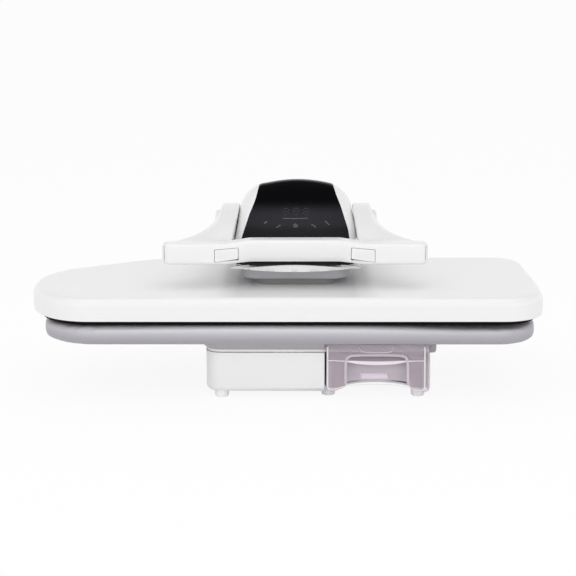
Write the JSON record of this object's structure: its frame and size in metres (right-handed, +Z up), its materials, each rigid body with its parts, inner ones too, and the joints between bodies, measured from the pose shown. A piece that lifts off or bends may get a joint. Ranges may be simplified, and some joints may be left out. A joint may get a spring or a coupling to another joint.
{
  "type": "steam ironing press",
  "caption": "Tabletop steam ironing press: a hinged lever with a wide grip carries a domed control head and hot plate over a padded board, with a slide-out water tank.",
  "frame": {"origin": "middle of the footprint's bounding box, on the plane the feet stand on", "axes": "+X along the board to its square end and the water tank (the nose is at -X), -Y towards the user, +Z up"},
  "size_m": [0.6496, 0.3244, 0.2528],
  "materials": {
    "white_gloss": "gloss moulded plastic",
    "black_gloss": "high gloss",
    "dark_plastic": "heat-proof, matt",
    "grey_plastic": "matt",
    "silver_plastic": "satin",
    "pan_steel": "satin",
    "cover_cloth": "coated cloth",
    "foam": "open-cell foam and felt",
    "felt": "glass-fibre mat",
    "sole_coating": "black non-stick coat on cast aluminium",
    "aluminium": "cast",
    "steel": "zinc plated",
    "brass": "turned",
    "tank_clear": "clear tinted plastic",
    "foot_rubber": "milky, slightly clear",
    "hose_rubber": "silicone",
    "circuit_board": "lacquered board with its parts",
    "display_glass": "smoked",
    "black_rubber": "matt"
  },
  "bodies": {
    "base": {"base_shell": "white_gloss", "base_floor": "grey_plastic", "base_deck": "white_gloss", "feet": "foot_rubber", "board_collar": "silver_plastic", "board_pan": "pan_steel", "board_foam": "foam", "board_cover": "cover_cloth", "column_cover": "white_gloss", "column_frame": "steel", "hinge_pin": "steel", "lift_springs": "steel", "water_pump": "dark_plastic", "tank_socket": "dark_plastic", "suction_hose": "hose_rubber", "feed_hose": "hose_rubber", "power_board": "circuit_board", "cord_gland": "black_rubber", "base_screws": "steel"},
    "water_tank": {"tank_shell": "tank_clear", "tank_lid": "tank_clear"},
    "lever": {"handle_shell": "white_gloss", "handle_underside": "white_gloss", "lever_bars": "steel", "grip_bar": "steel", "hinge_bushes": "brass", "pivot_pin": "steel", "pivot_cap_right": "white_gloss", "pivot_cap_left": "white_gloss", "steam_switches": "dark_plastic"},
    "steam_button_left": {"steam_button_left": "white_gloss"},
    "steam_button_right": {"steam_button_right": "white_gloss"},
    "head": {"head_housing": "white_gloss", "control_panel": "black_gloss", "control_board": "circuit_board", "display_module": "display_glass", "head_frame": "steel", "stud_nuts": "steel", "plate_studs": "steel", "steam_inlet": "brass", "pedestal_step": "grey_plastic", "pedestal_foot": "dark_plastic", "lid": "white_gloss", "insulation_mat": "felt", "steam_chamber_cover": "aluminium", "heating_plate": "sole_coating", "heating_element": "steel", "thermostat": "steel", "thermal_fuse": "steel"}
  },
  "joints": [
    {"name": "tank_slide", "type": "slide", "parent": "base", "child": "water_tank", "axis": [0, -1, 0], "range_m": [0, 0.175]},
    {"name": "lever_hinge", "type": "hinge", "parent": "base", "child": "lever", "pos_m": [0.01269, 0.13025, 0.172], "axis": [-1, 0, 0], "range_deg": [0, 45]},
    {"name": "head_pivot", "type": "hinge", "parent": "lever", "child": "head", "pos_m": [0.01269, 0.03025, 0.192], "axis": [1, 0, 0], "range_deg": [0, 4.5]},
    {"name": "left_button_press", "type": "slide", "parent": "lever", "child": "steam_button_left", "axis": [0, 1, 0], "range_m": [0, 0.002], "stiffness_N_per_m": 400, "springref_m": -0.002},
    {"name": "right_button_press", "type": "slide", "parent": "lever", "child": "steam_button_right", "axis": [0, 1, 0], "range_m": [0, 0.002], "stiffness_N_per_m": 400, "springref_m": -0.002}
  ],
  "couplings": [
    {"joint": "head_pivot", "follows": "lever_hinge", "ratio": 0.1}
  ]
}
